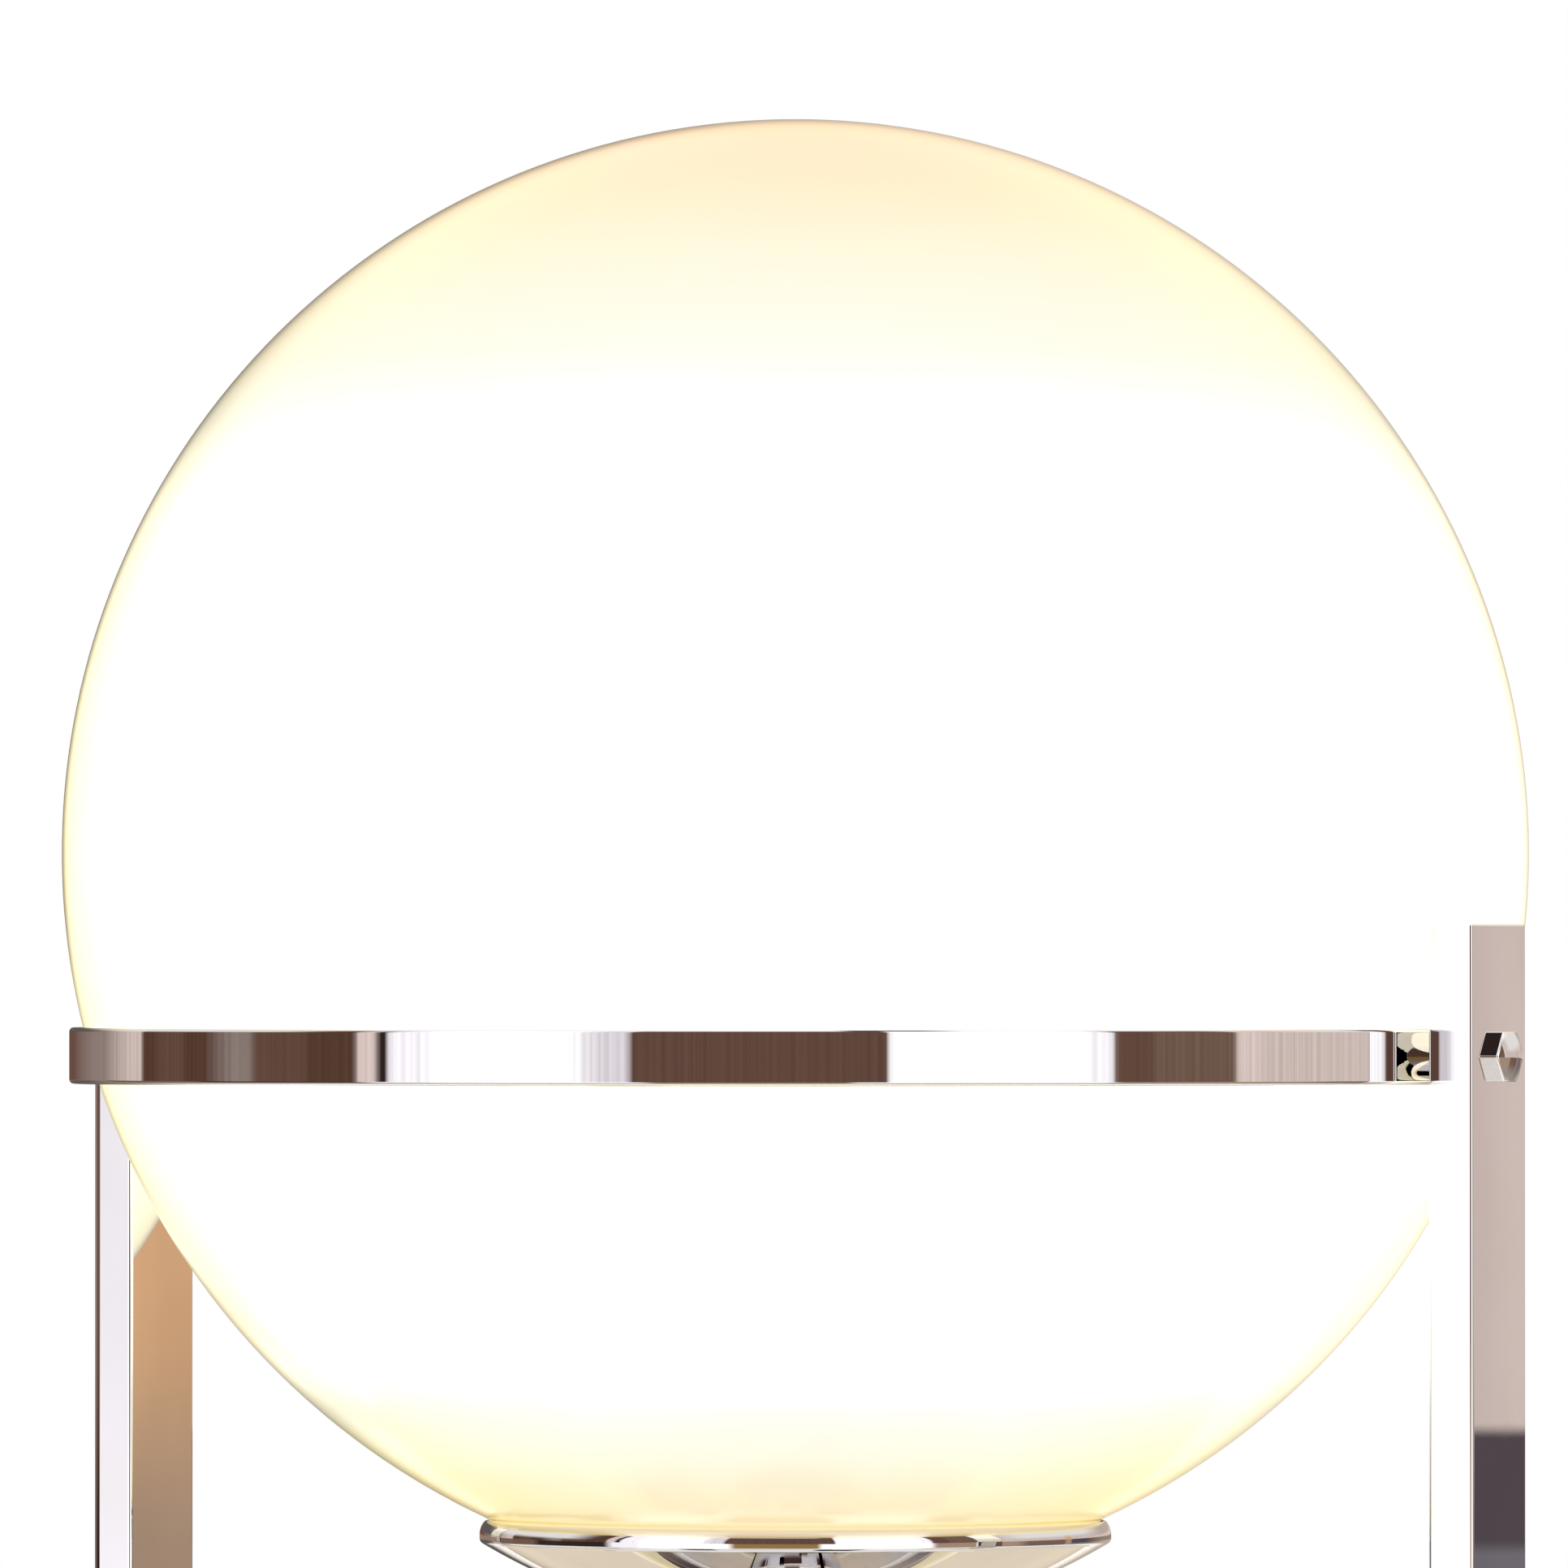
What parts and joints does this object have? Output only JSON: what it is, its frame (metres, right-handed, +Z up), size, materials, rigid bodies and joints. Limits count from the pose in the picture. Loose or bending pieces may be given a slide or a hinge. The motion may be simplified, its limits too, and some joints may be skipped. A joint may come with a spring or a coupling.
{
  "type": "globe table lamp",
  "caption": "Table lamp: a lit opal glass globe rests in a chrome ring held by flat-bar legs on a round weighted base, with a chrome dish, screw bulb and dimmer knob.",
  "frame": {"origin": "on the table surface, under the middle of the globe", "axes": "+Z up along the globe's axis, legs on +X and -X, dimmer knob at -Y, cord inlet at +Y"},
  "size_m": [0.34, 0.3412, 0.3711],
  "materials": {
    "opal_glass": "glossy opal, lit from inside",
    "chrome": "mirror polished plating",
    "clear_silicone": "soft translucent white",
    "zinc_steel": "bright zinc plating",
    "bare_brass": "bare",
    "black_phenolic": "moulded, slightly glossy",
    "white_ceramic": "glazed",
    "bulb_opal": "satin opal, lit",
    "bulb_white": "moulded white",
    "bulb_board_white": "solder mask white",
    "bulb_nickel": "nickel plated",
    "bulb_black": "black glass",
    "cast_grey": "sand cast",
    "black_plate": "matt black paint",
    "black_felt": "felt",
    "terminal_nylon": "natural nylon",
    "wire_blue": "smooth jacket",
    "wire_brown": "smooth jacket",
    "wire_green": "smooth jacket"
  },
  "bodies": {
    "stand": {"support_ring": "chrome", "leg_right": "chrome", "leg_left": "chrome", "ring_bolts": "chrome", "ring_spacers": "chrome", "dish": "chrome", "column": "chrome", "base_shell": "chrome", "ring_seat": "clear_silicone", "dish_gasket": "clear_silicone", "nipple": "zinc_steel", "nipple_nuts": "zinc_steel", "nipple_washers": "zinc_steel", "cover_screws": "zinc_steel", "leg_bolts": "zinc_steel", "terminal_screws": "zinc_steel", "earth_screw": "zinc_steel", "dimmer_nut": "zinc_steel", "holder_thread": "bare_brass", "holder_contact": "bare_brass", "earth_tag": "bare_brass", "dimmer_bushing": "bare_brass", "holder_cap": "black_phenolic", "holder_sleeve": "black_phenolic", "dimmer_body": "black_phenolic", "inlet_bush": "black_phenolic", "inlet_nut": "black_phenolic", "holder_insert": "white_ceramic", "base_weight": "cast_grey", "base_cover": "black_plate", "base_pad": "black_felt", "terminal_block": "terminal_nylon", "neutral_wire": "wire_blue", "live_wire": "wire_brown", "feed_wire": "wire_brown", "earth_wire": "wire_green"},
    "globe": {"globe": "opal_glass"},
    "bulb_tip": {"bulb_tip": "bulb_nickel"},
    "bulb": {"bulb_glass": "bulb_opal", "bulb_body": "bulb_white", "bulb_board": "bulb_board_white", "bulb_cap": "bulb_nickel", "bulb_insulator": "bulb_black"},
    "dimmer_control": {"dimmer_shaft": "zinc_steel", "dimmer_knob": "black_phenolic"}
  },
  "joints": [
    {"name": "globe_lift", "type": "slide", "parent": "stand", "child": "globe", "axis": [0, 0, 1], "range_m": [0, 0.13]},
    {"name": "bulb_rise", "type": "slide", "parent": "stand", "child": "bulb_tip", "axis": [0, 0, 1], "range_m": [0, 0.0109]},
    {"name": "bulb_turn", "type": "hinge", "parent": "bulb_tip", "child": "bulb", "pos_m": [0, 0, 0.1], "axis": [0, 0, 1], "range_deg": [0, 1080]},
    {"name": "dimmer_turn", "type": "hinge", "parent": "stand", "child": "dimmer_control", "pos_m": [0, -0.128, 0.03], "axis": [0, 0, -1], "range_deg": [0, 300]}
  ],
  "couplings": [
    {"joint": "bulb_rise", "follows": "bulb_turn", "m_per_rad": 0.00057614}
  ]
}
